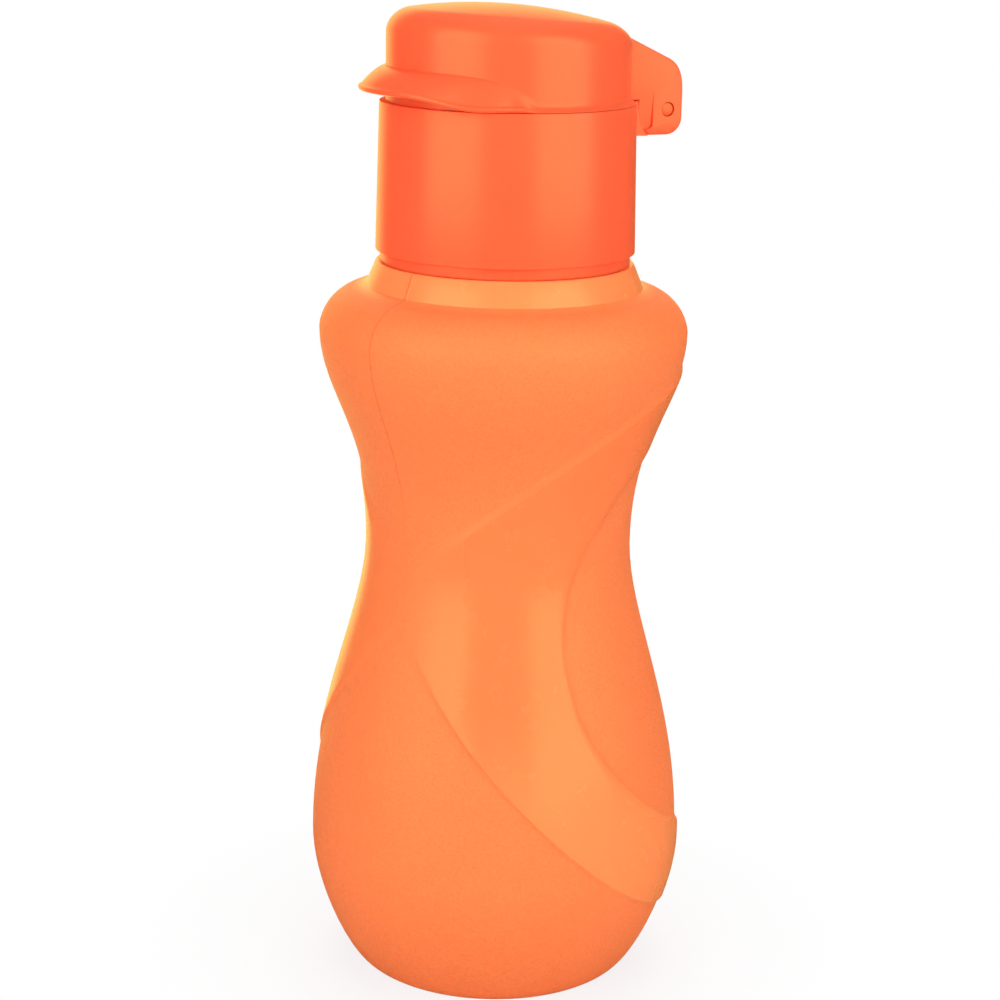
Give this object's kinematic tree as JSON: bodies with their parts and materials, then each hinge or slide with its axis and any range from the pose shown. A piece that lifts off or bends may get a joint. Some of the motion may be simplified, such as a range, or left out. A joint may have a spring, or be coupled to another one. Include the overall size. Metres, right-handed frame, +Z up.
{
  "type": "squeeze bottle",
  "caption": "Hourglass squeeze bottle with a raised polished ribbon, a tall screw cap with a drinking spout, and a hinged flip lid with a lifting brim.",
  "frame": {"origin": "centre of the foot of the bottle, on the surface that it stands on", "axes": "+Z up along the axis of the bottle; the brim of the lid points to -Y and its hinge to +Y; the hinge axis is along X"},
  "size_m": [0.0761, 0.0755, 0.193],
  "materials": {
    "body_plastic": "translucent orange polyethylene, finely grained, with a polished ribbon",
    "cap_plastic": "smooth orange polypropylene",
    "lid_plastic": "smooth orange polypropylene",
    "pin_plastic": "smooth orange plastic",
    "silicone": "milky soft silicone"
  },
  "bodies": {
    "bottle": {"bottle_body": "body_plastic"},
    "gasket": {"cap_gasket": "silicone"},
    "cap": {"screw_cap": "cap_plastic", "hinge_pin": "pin_plastic"},
    "lid": {"flip_lid": "lid_plastic", "spout_seal": "silicone"}
  },
  "joints": [
    {"name": "cap_lift", "type": "slide", "parent": "bottle", "child": "gasket", "axis": [0, 0, 1], "range_m": [0, 0.01]},
    {"name": "cap_turn", "type": "hinge", "parent": "gasket", "child": "cap", "pos_m": [0, 0, 0.16], "axis": [0, 0, 1], "range_deg": [0, 720]},
    {"name": "lid_flip", "type": "hinge", "parent": "cap", "child": "lid", "pos_m": [0, 0.03155, 0.1728], "axis": [-1, 0, 0], "range_deg": [0, 140]}
  ],
  "couplings": [
    {"joint": "cap_lift", "follows": "cap_turn", "m_per_rad": 0.00079577}
  ]
}
